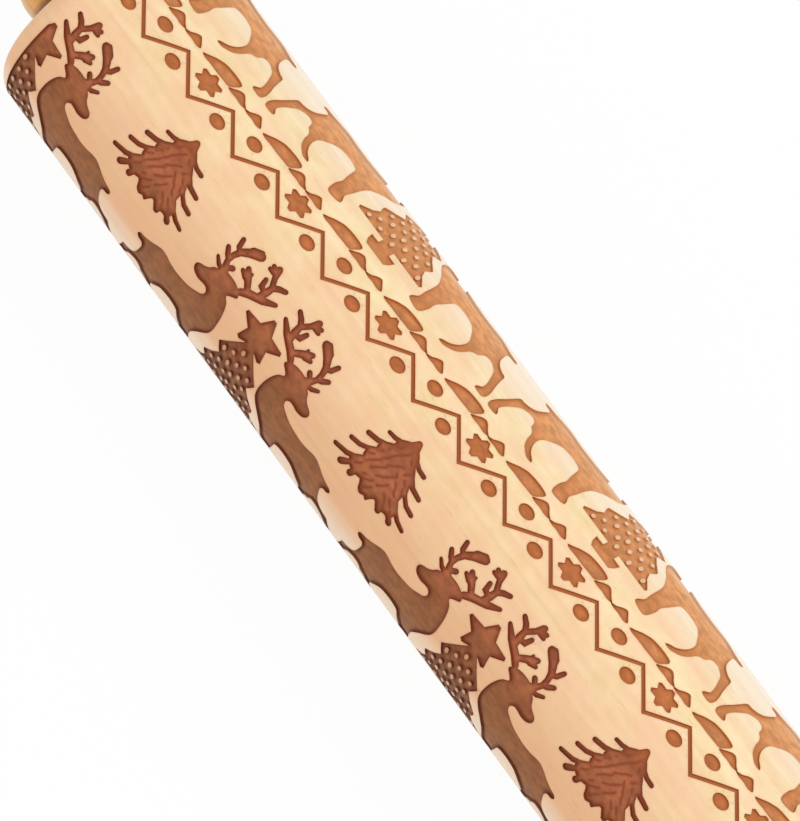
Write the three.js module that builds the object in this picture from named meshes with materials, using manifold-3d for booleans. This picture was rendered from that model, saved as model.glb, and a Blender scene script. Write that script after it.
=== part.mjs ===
import * as THREE from 'three';
import Module from 'manifold-3d';
import { mergeVertices } from 'three/addons/utils/BufferGeometryUtils.js';

// Embossed rolling pin. The barrel turns on two ball bearings round a steel axle that joins the handles.
// Lengths are millimetres. The pin lies along X, rests on its barrel at z = 0, and Z is up.

// Whole pin
const pinLength = 430;
const barrelLength = 250;
const barrelRadius = 25;
const barrelEndRound = 5;
const barrelSides = 24;
const barrelBoreRadius = 7;
const seatGap = 0.3;
const weldDistance = 0.0001;

// Bearing of the common 8 by 22 by 7 size
const axleSeatRadius = 4;
const bearingRadius = 11;
const bearingWidth = 7;
const bearingSetback = 1;
const ballPitchRadius = 7.5;
const ballRadius = 1.98;
const ballCount = 7;
const ballClearance = 0.25;
const innerLandRadius = 6;
const outerLandRadius = 9.1;
const shieldThickness = 0.4;
const shieldRebate = 0.4;
const cageThickness = 1.6;
const cagePocketClearance = 0.4;
const cageBackWall = 0.45;
const cageFront = 1;
const bearingSides = 16;

// Axle and what fixes a handle to it
const axleRadius = 5;
const axleTipChamfer = 0.8;
const handleGap = 1.5;
const insertRadius = 6.5;
const insertLength = 22;
const axleOverrun = 12;
const axleSpareDepth = 3;

// Handle
const collarRadius = 12.6;
const collarFaceRadius = 9.6;
const collarLength = 11;
const neckRadius = 9.2;
const gripRadius = 14.5;
const gripShoulder = 26;
const gripMiddle = 50;
const gripTail = 76;
const gripTailRadius = 11.8;
const handleSides = 16;

// Engraving
const engravingDepth = 0.5;
const cutterOverrun = 1.2;
const patternEndMargin = 4.5;
const patternPitch = 74.9;
const patternShift = 30.5;
const lowerHoofTurn = -101.3;
const rowSpacing = 56;

// Motifs of a deer row, each height measured from the hoof line
const deerHeight = 37.8;
const treeFromPair = 0.8;
const treeHeight = 24.4;
const treeStarLength = 11.8;
const treeStarWidth = 9.4;
const treeStarInnerShare = 0.5;
const treeStarHeight = 26.3;
const firHeight = 16.6;
const firBase = 23.5;

// Zigzag border, each height measured from the hoof line below it
const zigzagPitch = 15.2;
const zigzagBottom = 43.6;
const zigzagTop = 49.1;
const zigzagLine = 0.82;
const dotLength = 3.9;
const dotWidth = 2.8;
const lowerDotHeight = 45.3;
const upperDotHeight = 48.6;
const smallStarLength = 6.8;
const smallStarWidth = 4.9;
const smallStarInnerShare = 0.64;
const garlandPitch = 20.4;
const garlandShift = 5;
const garlandBase = 51.5;

const sideAngle = 2 * Math.PI / barrelSides;
const barrelEnd = barrelLength / 2;
const bearingFace = barrelEnd - bearingSetback;
const bearingBack = bearingFace - bearingWidth;
const bearingMiddle = bearingFace - bearingWidth / 2;
const handleFace = barrelEnd + handleGap;
const axleEnd = handleFace + insertLength + axleOverrun;
const patternHalf = barrelEnd - patternEndMargin;

// Deer seen from the side with its head turned back, as shares of its height.
// The middle of a pair of deer is at x = 0 and the hooves stand on y = 0.
const deerShares = [
  [0.31, 0], [0.405, 0], [0.447, 0.257], [0.59, 0.259], [0.669, 0.119], [0.585, 0], [0.659, 0],
  [0.791, 0.196], [0.91, 0.066], [0.897, 0], [0.971, 0], [0.918, 0.212], [0.81, 0.328],
  [0.862, 0.431], [0.69, 0.513], [0.532, 0.495], [0.365, 0.571], [0.489, 0.606], [0.505, 0.651],
  [0.386, 0.749], [0.41, 0.852], [0.291, 0.981], [0.28, 0.952], [0.37, 0.836], [0.317, 0.767],
  [0.156, 0.828], [0.143, 0.91], [0.185, 1], [0.159, 1], [0.111, 0.915], [0.116, 0.844],
  [0.045, 0.878], [0.257, 0.68], [0.198, 0.487], [0.31, 0.243],
];

// Right half of each tree from the tip down to the middle of its foot, as shares of its height
const firHalfShares = [
  [0, 1], [0.34, 0.79], [0.21, 0.73], [0.50, 0.59], [0.32, 0.51], [0.58, 0.38], [0.36, 0.33],
  [0.65, 0.17], [0.44, 0.03],
];
const treeHalfShares = [
  [0, 1], [0.246, 0.697], [0.189, 0.59], [0.332, 0.418], [0.307, 0.324], [0.426, 0.145],
  [0.072, 0.145], [0.14, 0],
];

// One garland repeat as shares of its pitch: a leaf, a bud and a bead
const leafShares = [[0, 0], [0.21, 0], [0.49, 0.12], [0.26, 0.14]];
const budShares = [[0.41, 0], [0.68, 0], [0.554, 0.098]];
const beadShares = [[0.7, 0], [0.96, 0], [0.833, 0.093]];

const wasm = await Module();
wasm.setup();

function toSolid(geometry) {
  const bare = geometry.clone();
  bare.deleteAttribute('normal');
  bare.deleteAttribute('uv');
  const merged = mergeVertices(bare, weldDistance);
  const corners = Array.from(merged.index.array);
  const triVerts = [];
  for (let i = 0; i < corners.length; i += 3) {
    const [a, b, c] = corners.slice(i, i + 3);
    if (a !== b && b !== c && c !== a) triVerts.push(a, b, c);
  }
  return new wasm.Manifold(new wasm.Mesh({
    numProp: 3,
    vertProperties: new Float32Array(merged.attributes.position.array),
    triVerts: new Uint32Array(triVerts),
  }));
}

function toGeometry(solid) {
  const mesh = solid.getMesh();
  const geometry = new THREE.BufferGeometry();
  geometry.setAttribute('position', new THREE.BufferAttribute(mesh.vertProperties, 3));
  geometry.setIndex(new THREE.BufferAttribute(mesh.triVerts, 1));
  geometry.computeVertexNormals();
  return geometry;
}

// Turned body round X. The profile holds [distance along X, radius] pairs and closes on itself
// or on the axis. The first flat side of the body faces up, so one flat side also faces down.
function turned(profile, sides) {
  const points = profile.map(([along, radius]) => new THREE.Vector2(radius, along));
  if (THREE.ShapeUtils.isClockWise(points)) points.reverse();
  const geometry = new THREE.LatheGeometry(points, sides, Math.PI / sides);
  geometry.rotateZ(-Math.PI / 2);
  return geometry;
}

function ring(start, end, innerRadius, outerRadius) {
  return [
    [start, innerRadius], [start, outerRadius], [end, outerRadius], [end, innerRadius],
    [start, innerRadius],
  ];
}

// Points of an arc in a turned profile, from one angle to another about a centre
function arc(centreAlong, centreRadius, radius, fromAngle, toAngle, steps) {
  const points = [];
  for (let i = 0; i <= steps; i++) {
    const angle = fromAngle + (toAngle - fromAngle) * i / steps;
    points.push([centreAlong + radius * Math.cos(angle), centreRadius + radius * Math.sin(angle)]);
  }
  return points;
}

// Materials
function finish(color, roughness, metalness) {
  return new THREE.MeshStandardMaterial({ color, roughness, metalness });
}
const beech = finish('#efd0a8', 0.6, 0);
const varnishedBeech = finish('#dea760', 0.35, 0);
const brightSteel = finish('#b8bcc0', 0.3, 1);
const bearingSteel = finish('#c9ccd0', 0.15, 1);
const brass = finish('#c8a24a', 0.3, 1);
const nylon = finish('#e8e2d2', 0.5, 0);

function piece(name, geometry, material) {
  const mesh = new THREE.Mesh(geometry, material);
  mesh.name = name;
  return mesh;
}

// Flat pattern. Along the pin it is measured from the middle of the barrel, and round the pin
// from the hooves of the lower deer row.
function outline(shares, size, along, round, direction = 1) {
  return shares.map(([x, y]) => [along + direction * x * size, round + y * size]);
}

function mirrored(halfShares) {
  const left = halfShares.slice(1).reverse().map(([x, y]) => [-x, y]);
  return [...halfShares, ...left];
}

function starOutline(along, round, length, width, points, innerShare) {
  const outlinePoints = [];
  for (let i = 0; i < 2 * points; i++) {
    const reach = i % 2 === 0 ? 1 : innerShare;
    const angle = Math.PI / 2 + Math.PI * i / points;
    outlinePoints.push([
      along + length / 2 * reach * Math.cos(angle),
      round + width / 2 * reach * Math.sin(angle),
    ]);
  }
  return outlinePoints;
}

function dotOutline(along, round, length, width, points) {
  const outlinePoints = [];
  for (let i = 0; i < points; i++) {
    const angle = 2 * Math.PI * i / points;
    outlinePoints.push([
      along + length / 2 * Math.cos(angle),
      round + width / 2 * Math.sin(angle),
    ]);
  }
  return outlinePoints;
}

// Places of a motif that repeats along the barrel, as far as it reaches into the pattern
function placesAlong(pitch, shift, reach) {
  const places = [];
  const first = Math.ceil((-patternHalf - reach - shift) / pitch);
  const last = Math.floor((patternHalf + reach - shift) / pitch);
  for (let i = first; i <= last; i++) places.push({ along: shift + i * pitch, index: i });
  return places;
}

function deerRow(hoofLine) {
  const outlines = [];
  for (const { along } of placesAlong(patternPitch, patternShift, patternPitch / 2)) {
    outlines.push(outline(deerShares, deerHeight, along - treeFromPair, hoofLine));
    outlines.push(outline(deerShares, deerHeight, along - treeFromPair, hoofLine, -1));
    outlines.push(outline(mirrored(treeHalfShares), treeHeight, along, hoofLine));
    const starRound = hoofLine + treeStarHeight;
    outlines.push(starOutline(along, starRound, treeStarLength, treeStarWidth, 5, treeStarInnerShare));
    const betweenPairs = along + patternPitch / 2;
    outlines.push(outline(mirrored(firHalfShares), firHeight, betweenPairs, hoofLine + firBase));
  }
  return outlines;
}

// The zigzag is one closed outline: its upper edge one way and its lower edge back
function zigzagOutline(hoofLine) {
  const rise = zigzagTop - zigzagBottom;
  const run = zigzagPitch / 2;
  const halfUpright = zigzagLine / 2 * Math.hypot(run, rise) / run;
  const upper = [];
  const lower = [];
  for (const { along, index } of placesAlong(run, 0, run)) {
    const round = hoofLine + (index % 2 === 0 ? zigzagBottom : zigzagTop);
    lower.push([along, round - halfUpright]);
    upper.unshift([along, round + halfUpright]);
  }
  return [...lower, ...upper];
}

function zigzagBand(hoofLine) {
  const outlines = [zigzagOutline(hoofLine)];
  for (const { along, index } of placesAlong(zigzagPitch, 0, dotLength)) {
    const upper = hoofLine + upperDotHeight;
    outlines.push(dotOutline(along + zigzagPitch / 2, hoofLine + lowerDotHeight, dotLength, dotWidth, 5));
    if (index % 2 === 0) {
      outlines.push(starOutline(along, upper, smallStarLength, smallStarWidth, 6, smallStarInnerShare));
    } else {
      outlines.push(dotOutline(along, upper, dotLength, dotWidth, 5));
    }
  }
  return outlines;
}

function garland(hoofLine) {
  const base = hoofLine + garlandBase;
  const outlines = [];
  for (const { along } of placesAlong(garlandPitch, garlandShift, garlandPitch)) {
    for (const shares of [leafShares, budShares, beadShares]) {
      outlines.push(outline(shares, garlandPitch, along, base));
    }
  }
  return outlines;
}

// A flat outline becomes a cutter that follows the flat sides of the barrel. The outline is first
// cut where two sides meet, so that the engraving keeps the same depth everywhere.
function cutAtLines(points, axis, lines) {
  const result = [];
  points.forEach((from, i) => {
    const to = points[(i + 1) % points.length];
    result.push(from);
    const crossed = lines.filter(line => (from[axis] - line) * (to[axis] - line) < 0);
    crossed.sort((a, b) => Math.abs(a - from[axis]) - Math.abs(b - from[axis]));
    for (const line of crossed) {
      const share = (line - from[axis]) / (to[axis] - from[axis]);
      const cut = [from[0] + (to[0] - from[0]) * share, from[1] + (to[1] - from[1]) * share];
      cut[axis] = line;
      result.push(cut);
    }
  });
  return result;
}

// The pieces of an outline between two lines, each a closed loop. Where a run of the outline
// leaves the strip, the loop follows the line to the next crossing, with the motif on its left.
function piecesBetween(points, axis, low, high) {
  const cut = cutAtLines(points, axis, [low, high]);
  const count = cut.length;
  const inside = i => {
    const middle = (cut[i][axis] + cut[(i + 1) % count][axis]) / 2;
    return middle > low && middle < high;
  };
  const starts = [];
  for (let i = 0; i < count; i++) {
    if (inside(i) && !inside((i + count - 1) % count)) starts.push(i);
  }
  if (starts.length === 0) return inside(0) ? [cut] : [];
  const runs = starts.map(start => {
    const run = [cut[start]];
    for (let i = start; inside(i % count); i++) run.push(cut[(i + 1) % count]);
    return run;
  });
  const along = 1 - axis;
  const ways = axis === 1 ? 1 : -1;
  const loops = [];
  const left = new Set(runs);
  while (left.size > 0) {
    const first = left.values().next().value;
    const loop = [];
    let run = first;
    do {
      left.delete(run);
      loop.push(...run);
      const exit = run[run.length - 1];
      const way = (exit[axis] === high ? -1 : 1) * ways;
      const next = runs
        .filter(other => other[0][axis] === exit[axis] && way * (other[0][along] - exit[along]) > 0)
        .sort((a, b) => way * (a[0][along] - b[0][along]))[0];
      run = next ?? first;
    } while (run !== first);
    loops.push(loop);
  }
  return loops;
}

function onBarrel([along, sideCount], side, flatRadius) {
  const cornerRadius = flatRadius / Math.cos(sideAngle / 2);
  const share = sideCount - side;
  const from = (side + 0.5) * sideAngle;
  const to = from + sideAngle;
  return [
    along,
    cornerRadius * THREE.MathUtils.lerp(Math.sin(from), Math.sin(to), share),
    cornerRadius * THREE.MathUtils.lerp(Math.cos(from), Math.cos(to), share),
  ];
}

function motifCutter(flatOutline) {
  const firstTurn = THREE.MathUtils.degToRad(lowerHoofTurn);
  let points = flatOutline.map(([along, round]) =>
    [along, (firstTurn + round / barrelRadius) / sideAngle - 0.5]);
  if (THREE.ShapeUtils.isClockWise(points.map(([x, y]) => ({ x, y })))) points = points.reverse();
  const sides = points.map(point => point[1]);
  const lines = [];
  for (let line = Math.ceil(Math.min(...sides)); line <= Math.max(...sides); line++) lines.push(line);
  const loops = piecesBetween(points, 0, -patternHalf, patternHalf)
    .map(loop => cutAtLines(loop, 1, lines));

  const outer = [];
  const floor = [];
  const numberOf = new Map();
  const numberAt = (point, side) => {
    const key = point.map(value => Math.round(value / weldDistance)).join();
    if (!numberOf.has(key)) {
      numberOf.set(key, outer.length);
      outer.push(onBarrel(point, side, barrelRadius + cutterOverrun));
      floor.push(onBarrel(point, side, barrelRadius - engravingDepth));
    }
    return numberOf.get(key);
  };

  const faces = [];
  for (const loop of loops) {
    for (let side = Math.floor(Math.min(...sides)); side < Math.max(...sides); side++) {
      for (const patch of piecesBetween(loop, 1, side, side + 1)) {
        const flat = patch.map(([x, y]) => new THREE.Vector2(x, y));
        for (const face of THREE.ShapeUtils.triangulateShape(flat, [])) {
          faces.push(face.map(i => numberAt(patch[i], side)));
        }
      }
    }
  }
  if (faces.length === 0) return null;

  const count = outer.length;
  const index = [];
  const edges = new Map();
  for (const [a, b, c] of faces) {
    index.push(a, b, c, count + a, count + c, count + b);
    for (const [from, to] of [[a, b], [b, c], [c, a]]) edges.set(`${from},${to}`, [from, to]);
  }
  for (const [from, to] of edges.values()) {
    if (edges.has(`${to},${from}`)) continue;
    index.push(from, count + from, count + to, from, count + to, to);
  }
  const geometry = new THREE.BufferGeometry();
  geometry.setAttribute('position', new THREE.Float32BufferAttribute([...outer, ...floor].flat(), 3));
  geometry.setIndex(index);
  return toSolid(geometry);
}

function barrelBlank() {
  const cornerRadius = barrelRadius / Math.cos(sideAngle / 2);
  const seatRadius = bearingRadius + seatGap;
  const seatBack = bearingBack - seatGap;
  const roundCentre = barrelEnd - barrelEndRound;
  const roundedEnd = arc(roundCentre, cornerRadius - barrelEndRound, barrelEndRound, 0, Math.PI / 2, 2);
  const half = [
    [seatBack, barrelBoreRadius], [seatBack, seatRadius], [barrelEnd, seatRadius], ...roundedEnd,
  ];
  const otherHalf = half.map(([along, radius]) => [-along, radius]).reverse();
  return turned([...half, ...otherHalf, half[0]], barrelSides);
}

function barrelGeometry() {
  const outlines = [
    ...deerRow(0), ...zigzagBand(0), ...garland(0), ...deerRow(rowSpacing),
  ];
  const cutters = outlines.map(motifCutter).filter(cutter => cutter !== null);
  const engraving = wasm.Manifold.union(cutters);
  return toGeometry(toSolid(barrelBlank()).subtract(engraving));
}

function axleGeometry() {
  const shoulder = bearingBack - seatGap;
  const half = [
    [shoulder, axleRadius], [shoulder, axleSeatRadius], [axleEnd - axleTipChamfer, axleSeatRadius],
    [axleEnd, axleSeatRadius - axleTipChamfer], [axleEnd, 0],
  ];
  const otherHalf = half.map(([along, radius]) => [-along, radius]).reverse();
  return turned([...otherHalf, ...half], bearingSides);
}

// The pieces below are made for the end at +X, with distances from the middle of the pin
function grooveArc(landRadius, steps) {
  const radius = ballRadius + ballClearance;
  const reach = Math.abs(landRadius - ballPitchRadius);
  const edge = Math.asin(reach / radius);
  const outward = Math.sign(landRadius - ballPitchRadius);
  return arc(bearingMiddle, ballPitchRadius, radius, outward * edge, outward * (Math.PI - edge), steps);
}

function innerRaceGeometry() {
  const bore = axleSeatRadius + seatGap;
  return turned([
    [bearingFace, bore], [bearingFace, innerLandRadius], ...grooveArc(innerLandRadius, 3),
    [bearingBack, innerLandRadius], [bearingBack, bore], [bearingFace, bore],
  ], bearingSides);
}

function outerRaceGeometry() {
  const rebateRadius = outerLandRadius + shieldRebate;
  const rebateFloor = bearingFace - shieldThickness - seatGap;
  return turned([
    [bearingFace, bearingRadius], [bearingFace, rebateRadius], [rebateFloor, rebateRadius],
    [rebateFloor, outerLandRadius], ...grooveArc(outerLandRadius, 3),
    [bearingBack, outerLandRadius], [bearingBack, bearingRadius], [bearingFace, bearingRadius],
  ], bearingSides);
}

function shieldGeometry() {
  const inner = innerLandRadius + shieldRebate;
  const outer = outerLandRadius + shieldRebate - seatGap;
  return turned(ring(bearingFace - shieldThickness, bearingFace, inner, outer), bearingSides);
}

function ballPlace(number) {
  const angle = 2 * Math.PI * number / ballCount;
  return new THREE.Vector3(
    bearingMiddle, ballPitchRadius * Math.sin(angle), ballPitchRadius * Math.cos(angle));
}

function ballGeometry(radius) {
  return new THREE.SphereGeometry(radius, 8, 5);
}

// A snap-in cage: a ring with a round-bottomed pocket for each ball, open to one side
function cageGeometry() {
  const pocketRadius = ballRadius + cagePocketClearance;
  const back = bearingMiddle - pocketRadius - cageBackWall;
  const front = bearingMiddle + cageFront;
  const inner = ballPitchRadius - cageThickness / 2;
  const outer = ballPitchRadius + cageThickness / 2;
  const pocket = new THREE.Shape();
  pocket.moveTo(pocketRadius, cageFront + cageThickness);
  pocket.lineTo(pocketRadius, 0);
  pocket.absarc(0, 0, pocketRadius, 0, -Math.PI, true);
  pocket.lineTo(-pocketRadius, cageFront + cageThickness);
  const depth = 2 * cageThickness;
  const cutter = new THREE.ExtrudeGeometry(pocket, { depth, bevelEnabled: false, curveSegments: 3 });
  cutter.translate(0, 0, -depth / 2);
  const pockets = [];
  for (let number = 0; number < ballCount; number++) {
    const turn = 2 * Math.PI * number / ballCount;
    const place = ballPlace(number);
    const round = new THREE.Vector3(0, -Math.cos(turn), Math.sin(turn));
    const outward = new THREE.Vector3(0, Math.sin(turn), Math.cos(turn));
    const frame = new THREE.Matrix4().makeBasis(round, new THREE.Vector3(1, 0, 0), outward);
    frame.setPosition(place);
    pockets.push(toSolid(cutter.clone().applyMatrix4(frame)));
  }
  const band = toSolid(turned(ring(back, front, inner, outer), 2 * ballCount));
  return toGeometry(band.subtract(wasm.Manifold.union(pockets)));
}

function spacerGeometry() {
  const start = bearingFace + seatGap;
  const end = handleFace - seatGap;
  return turned(ring(start, end, axleSeatRadius + seatGap, innerLandRadius), bearingSides);
}

function insertGeometry() {
  const bore = axleSeatRadius + seatGap;
  return turned(ring(handleFace, handleFace + insertLength, bore, insertRadius), bearingSides);
}

// Handle turned in one piece: a collar bead, a neck and a swelling grip with a rounded tip
function handleGeometry() {
  const insertSeat = insertRadius + seatGap;
  const insertFloor = handleFace + insertLength + seatGap;
  const tipBore = axleSeatRadius + seatGap;
  const boreEnd = axleEnd + axleSpareDepth;
  const at = distance => handleFace + distance;
  const tip = pinLength / 2;
  const grip = new THREE.SplineCurve([
    new THREE.Vector2(at(collarLength), neckRadius),
    new THREE.Vector2(at(gripShoulder), (neckRadius + gripRadius) / 2),
    new THREE.Vector2(at(gripMiddle), gripRadius),
    new THREE.Vector2(at(gripTail), gripTailRadius),
  ]).getPoints(6).map(point => [point.x, point.y]);
  const tipRound = tip - at(gripTail);
  const roundedTip = arc(at(gripTail), 0, 1, Math.PI / 2, 0, 4)
    .map(([along, radius]) => [at(gripTail) + (along - at(gripTail)) * tipRound, radius * gripTailRadius]);
  const beadHeight = collarRadius - collarFaceRadius;
  const bead = [];
  for (let i = 0; i <= 6; i++) {
    const turn = Math.PI * i / 6;
    const share = (1 - Math.cos(turn)) / 2;
    const foot = THREE.MathUtils.lerp(collarFaceRadius, neckRadius, share);
    bead.push([at(collarLength * share), foot + beadHeight * Math.sin(turn)]);
  }
  return turned([
    [boreEnd, 0], [boreEnd, tipBore], [insertFloor, tipBore], [insertFloor, insertSeat],
    [handleFace, insertSeat], ...bead, ...grip.slice(1), ...roundedTip.slice(1, -1), [tip, 0],
  ], handleSides);
}

function endGroup(prefix) {
  const end = new THREE.Group();
  end.add(
    piece(`${prefix}_outer_race`, outerRaceGeometry(), bearingSteel),
    piece(`${prefix}_inner_race`, innerRaceGeometry(), bearingSteel),
    piece(`${prefix}_ball_cage`, cageGeometry(), nylon),
    piece(`${prefix}_bearing_shield`, shieldGeometry(), brightSteel),
    piece(`${prefix}_spacer_washer`, spacerGeometry(), nylon),
    piece(`${prefix}_threaded_insert`, insertGeometry(), brass),
    piece(`${prefix}_handle`, handleGeometry(), varnishedBeech),
  );
  for (let number = 0; number < ballCount; number++) {
    const ball = piece(`${prefix}_ball_${number + 1}`, ballGeometry(ballRadius), bearingSteel);
    ball.position.copy(ballPlace(number));
    end.add(ball);
  }
  return end;
}

const pin = new THREE.Group();
pin.position.z = barrelRadius;
pin.add(piece('barrel', barrelGeometry(), beech));
pin.add(piece('axle_rod', axleGeometry(), brightSteel));
const rightEnd = endGroup('right');
const leftEnd = endGroup('left');
leftEnd.rotation.z = Math.PI;
pin.add(rightEnd, leftEnd);

const rollingPin = new THREE.Group();
rollingPin.add(pin);

export default rollingPin;
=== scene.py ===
import math
import random

import bmesh
import bpy
import numpy as np
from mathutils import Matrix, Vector
from mathutils.geometry import delaunay_2d_cdt
from mathutils.kdtree import KDTree


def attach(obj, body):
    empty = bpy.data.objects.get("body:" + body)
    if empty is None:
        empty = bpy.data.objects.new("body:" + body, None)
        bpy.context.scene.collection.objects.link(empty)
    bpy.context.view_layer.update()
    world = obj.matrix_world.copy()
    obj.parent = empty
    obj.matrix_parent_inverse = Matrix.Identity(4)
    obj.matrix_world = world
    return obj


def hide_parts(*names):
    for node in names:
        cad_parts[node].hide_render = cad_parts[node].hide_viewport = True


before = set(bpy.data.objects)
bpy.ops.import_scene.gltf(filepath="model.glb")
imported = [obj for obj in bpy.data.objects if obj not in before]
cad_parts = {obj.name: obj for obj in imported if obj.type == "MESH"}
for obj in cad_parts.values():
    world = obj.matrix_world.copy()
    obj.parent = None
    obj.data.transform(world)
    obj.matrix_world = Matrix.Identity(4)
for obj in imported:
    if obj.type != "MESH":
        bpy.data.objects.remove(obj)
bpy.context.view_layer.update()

mm = 0.001
axisHeight = 25.0


def paint(code):
    parts = [int(code[i:i + 2], 16) / 255 for i in (1, 3, 5)]
    return tuple(c / 12.92 if c <= 0.04045 else ((c + 0.055) / 1.055) ** 2.4 for c in parts) + (1.0,)


def addNode(tree, kind, inputs=None, stops=None, out=0, **settings):
    # adds a node with its settings and links and gives one of its outputs, or all of them for None
    made = tree.nodes.new(kind)
    for name, value in settings.items():
        setattr(made, name, value)
    for key, value in (inputs or {}).items():
        if isinstance(value, bpy.types.NodeSocket):
            tree.links.new(value, made.inputs[key])
        else:
            made.inputs[key].default_value = value
    if stops:
        ramp = made.color_ramp.elements
        while len(ramp) < len(stops):
            ramp.new(1.0)
        for element, (position, code) in zip(ramp, stops):
            element.position = position
            element.color = paint(code)
    return made.outputs if out is None or not made.outputs else made.outputs[out]


def addObject(name, data):
    made = bpy.data.objects.new(name, data)
    bpy.context.scene.collection.objects.link(made)
    return made


def startMaterial(name):
    material = bpy.data.materials.new(name)
    material.use_nodes = True
    material.node_tree.nodes.clear()
    return material, material.node_tree


def startTree(name, sizes):
    # a geometry tree with its named inputs: each size is (kind of socket, name)
    tree = bpy.data.node_groups.new(name, "GeometryNodeTree")
    tree.interface.new_socket("Geometry", in_out="INPUT", socket_type="NodeSocketGeometry")
    for kind, label in sizes:
        tree.interface.new_socket(label, in_out="INPUT", socket_type="NodeSocket" + kind)
    tree.interface.new_socket("Geometry", in_out="OUTPUT", socket_type="NodeSocketGeometry")
    return tree, addNode(tree, "NodeGroupInput", out=None)


def endTree(tree, geometry, material):
    real = addNode(tree, "GeometryNodeRealizeInstances", {"Geometry": geometry})
    coloured = addNode(tree, "GeometryNodeSetMaterial", {"Geometry": real, "Material": material})
    addNode(tree, "NodeGroupOutput", {"Geometry": coloured})
    return tree


def runTree(mesh, tree, values):
    # runs the tree on the mesh and gives its result as a plain mesh
    carrier = addObject(tree.name, mesh)
    modifier = carrier.modifiers.new(tree.name, "NODES")
    modifier.node_group = tree
    for item in tree.interface.items_tree:
        if item.in_out == "INPUT" and item.name in values:
            modifier[item.identifier] = values[item.name]
    graph = bpy.context.evaluated_depsgraph_get()
    result = bpy.data.meshes.new_from_object(carrier.evaluated_get(graph), depsgraph=graph)
    carrier.modifiers.remove(modifier)
    bpy.data.objects.remove(carrier)
    return result


def place(name, mesh, material, body, nodes, sharpAngle=32):
    # puts a finished mesh in the scene as a piece that stands for the named CAD nodes
    if material.name not in [m.name for m in mesh.materials if m]:
        mesh.materials.append(material)
    mesh.shade_smooth()
    mesh.set_sharp_from_angle(angle=math.radians(sharpAngle))
    piece = addObject(name, mesh)
    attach(piece, body)
    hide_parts(*nodes)


def drawPattern(tree, spot, size, detail, roughness=0.5):
    # marks stretched along the pin, size is their length and width in millimetres
    along, across = (1 / (length * mm) for length in size)
    stretched = addNode(tree, "ShaderNodeMapping", {"Vector": spot, "Scale": (along, across, across)})
    return addNode(tree, "ShaderNodeTexNoise", {
        "Vector": stretched, "Scale": 1.0, "Detail": detail, "Roughness": roughness})


def endMaterial(material, relief, strength, depth, finish):
    # the surface with its fine relief, whose depth is in millimetres
    tree = material.node_tree
    bump = addNode(tree, "ShaderNodeBump", {"Height": relief, "Strength": strength, "Distance": depth * mm})
    shader = addNode(tree, "ShaderNodeBsdfPrincipled", {"Normal": bump, **finish})
    addNode(tree, "ShaderNodeOutputMaterial", {"Surface": shader})
    return material


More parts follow.
